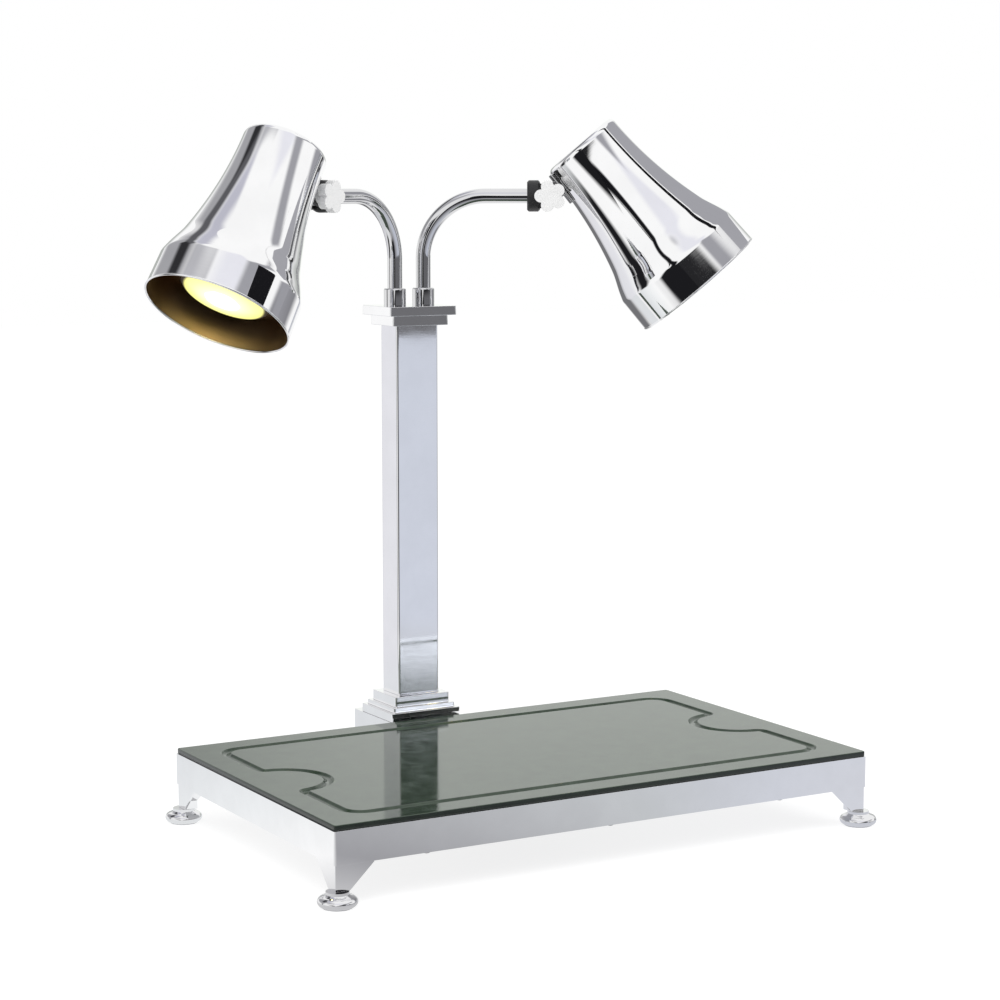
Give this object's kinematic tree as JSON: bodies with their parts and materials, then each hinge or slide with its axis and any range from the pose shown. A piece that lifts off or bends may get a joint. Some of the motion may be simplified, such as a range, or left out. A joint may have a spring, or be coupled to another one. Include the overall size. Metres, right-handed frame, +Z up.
{
  "type": "heated carving station",
  "caption": "Heated carving board with a juice groove on a polished footed base, with a post behind it and swivelling arms that carry tilting bell-shaped heat lamps.",
  "frame": {"origin": "on the table, under the middle of the whole object's box", "axes": "+X right, +Y back towards the post, +Z up"},
  "size_m": [0.6852, 0.5055, 0.7276],
  "materials": {
    "polished_steel": "mirror polished",
    "foot_chrome": "mirror polished",
    "board_stone": "polished",
    "aluminium": "mill finish",
    "element_sheath": "heat darkened",
    "ceramic": "satin",
    "insulation": "pressed fibre board",
    "cover_steel": "satin",
    "screw_steel": "bright",
    "black_plastic": "fine grain",
    "rocker_plastic": "gloss",
    "arm_chrome": "mirror polished",
    "lead_rubber": "matte",
    "knob_plastic": "satin white",
    "shade_chrome": "mirror polished",
    "bulb_glass": "frosted"
  },
  "bodies": {
    "base": {"base_frame": "polished_steel", "heat_spreader": "aluminium", "heating_element": "element_sheath", "thermostat": "ceramic", "insulation_pad": "insulation", "bottom_cover": "cover_steel", "cover_screws": "screw_steel", "leg_front_left": "polished_steel", "leg_front_right": "polished_steel", "leg_back_left": "polished_steel", "leg_back_right": "polished_steel", "foot_front_left": "foot_chrome", "foot_front_right": "foot_chrome", "foot_back_left": "foot_chrome", "foot_back_right": "foot_chrome", "foot_screws": "screw_steel", "rear_box": "polished_steel", "rear_box_cover": "cover_steel", "rear_box_screws": "screw_steel", "terminal_block": "ceramic", "cord_gland": "black_plastic", "gland_nut": "black_plastic", "lamp_switch": "black_plastic", "heat_switch": "black_plastic", "post_plinth": "polished_steel", "post_tube": "polished_steel", "tie_rod": "screw_steel", "tie_rod_nut": "screw_steel", "post_cap": "polished_steel", "left_arm_ferrule": "arm_chrome", "right_arm_ferrule": "arm_chrome", "left_post_lead": "lead_rubber", "right_post_lead": "lead_rubber"},
    "board": {"carving_board": "board_stone"},
    "left_arm": {"left_arm_tube": "arm_chrome", "left_arm_lead": "lead_rubber", "left_arm_hub": "black_plastic", "left_pivot_screw": "screw_steel"},
    "left_head": {"left_shade_bracket": "arm_chrome", "left_lamp_shade": "shade_chrome", "left_lamp_socket": "ceramic", "left_heat_bulb": "bulb_glass"},
    "left_knob": {"left_tilt_knob": "knob_plastic"},
    "right_arm": {"right_arm_tube": "arm_chrome", "right_arm_lead": "lead_rubber", "right_arm_hub": "black_plastic", "right_pivot_screw": "screw_steel"},
    "right_head": {"right_shade_bracket": "arm_chrome", "right_lamp_shade": "shade_chrome", "right_lamp_socket": "ceramic", "right_heat_bulb": "bulb_glass"},
    "right_knob": {"right_tilt_knob": "knob_plastic"},
    "lamp_rocker": {"lamp_rocker": "rocker_plastic"},
    "heat_rocker": {"heat_rocker": "rocker_plastic"}
  },
  "joints": [
    {"name": "board_lift", "type": "slide", "parent": "base", "child": "board", "axis": [0, 0, 1], "range_m": [0, 0.06]},
    {"name": "left_arm_swivel", "type": "hinge", "parent": "base", "child": "left_arm", "pos_m": [-0.0175, 0.18575, 0.5255], "axis": [0, 0, 1], "range_deg": [-44, 41]},
    {"name": "left_lamp_tilt", "type": "hinge", "parent": "left_arm", "child": "left_head", "pos_m": [-0.14403, 0.12942, 0.644], "axis": [-0.4067, 0.9135, 0], "range_deg": [-33, 32]},
    {"name": "left_knob_turn", "type": "hinge", "parent": "left_arm", "child": "left_knob", "pos_m": [-0.14403, 0.12942, 0.644], "axis": [-0.4067, 0.9135, 0], "continuous": true},
    {"name": "right_arm_swivel", "type": "hinge", "parent": "base", "child": "right_arm", "pos_m": [0.0175, 0.18575, 0.5255], "axis": [0, 0, -1], "range_deg": [-50.5, 34.5]},
    {"name": "right_lamp_tilt", "type": "hinge", "parent": "right_arm", "child": "right_head", "pos_m": [0.13684, 0.11546, 0.644], "axis": [-0.5075, -0.8616, 0], "range_deg": [-40.8, 24.2]},
    {"name": "right_knob_turn", "type": "hinge", "parent": "right_arm", "child": "right_knob", "pos_m": [0.13684, 0.11546, 0.644], "axis": [-0.5075, -0.8616, 0], "continuous": true},
    {"name": "lamp_rocker_press", "type": "hinge", "parent": "base", "child": "lamp_rocker", "pos_m": [-0.025, 0.23875, 0.056], "axis": [-1, 0, 0], "range_deg": [0, 20]},
    {"name": "heat_rocker_press", "type": "hinge", "parent": "base", "child": "heat_rocker", "pos_m": [0.025, 0.23875, 0.056], "axis": [-1, 0, 0], "range_deg": [0, 20]}
  ]
}
